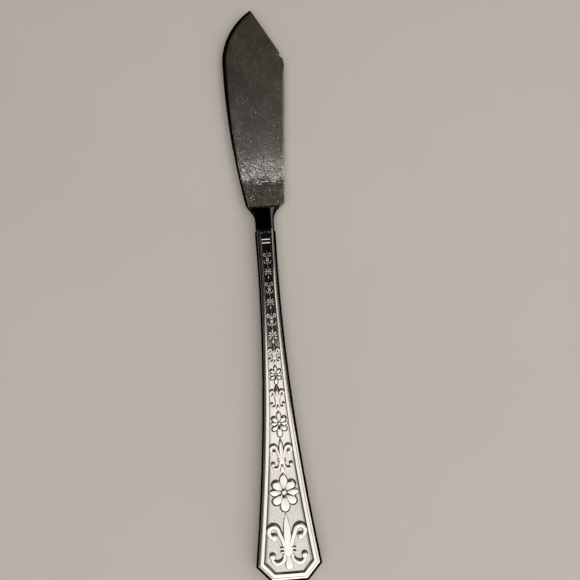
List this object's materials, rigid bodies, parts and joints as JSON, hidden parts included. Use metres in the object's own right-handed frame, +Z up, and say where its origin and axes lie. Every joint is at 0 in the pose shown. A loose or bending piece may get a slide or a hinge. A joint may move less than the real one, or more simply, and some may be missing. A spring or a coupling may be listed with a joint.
{
  "type": "butter knife",
  "caption": "Master butter knife with a broad clipped blade, a slim neck and a flared hollow handle with a raised border around a row of daisies and lilies in relief.",
  "frame": {"origin": "on the surface the knife lies on, under the middle of its length and width", "axes": "+Y from the handle's end to the tip, +X toward the blade's spine, +Z up from the face it lies on"},
  "size_m": [0.0196, 0.1754, 0.005],
  "materials": {
    "blade_steel": "worn brushed steel with fine scratches, mirror-polished at the neck",
    "handle_plate": "silver plate, bright on the raised parts, dark in the hollows of the ornament",
    "solder": "polished silver solder",
    "cement": "dull cast filler, hidden inside the handle"
  },
  "bodies": {
    "root": {"blade": "blade_steel", "front_handle_shell": "handle_plate", "back_handle_shell": "handle_plate", "seam_solder": "solder", "mouth_solder": "solder", "handle_cement": "cement"}
  },
  "joints": []
}
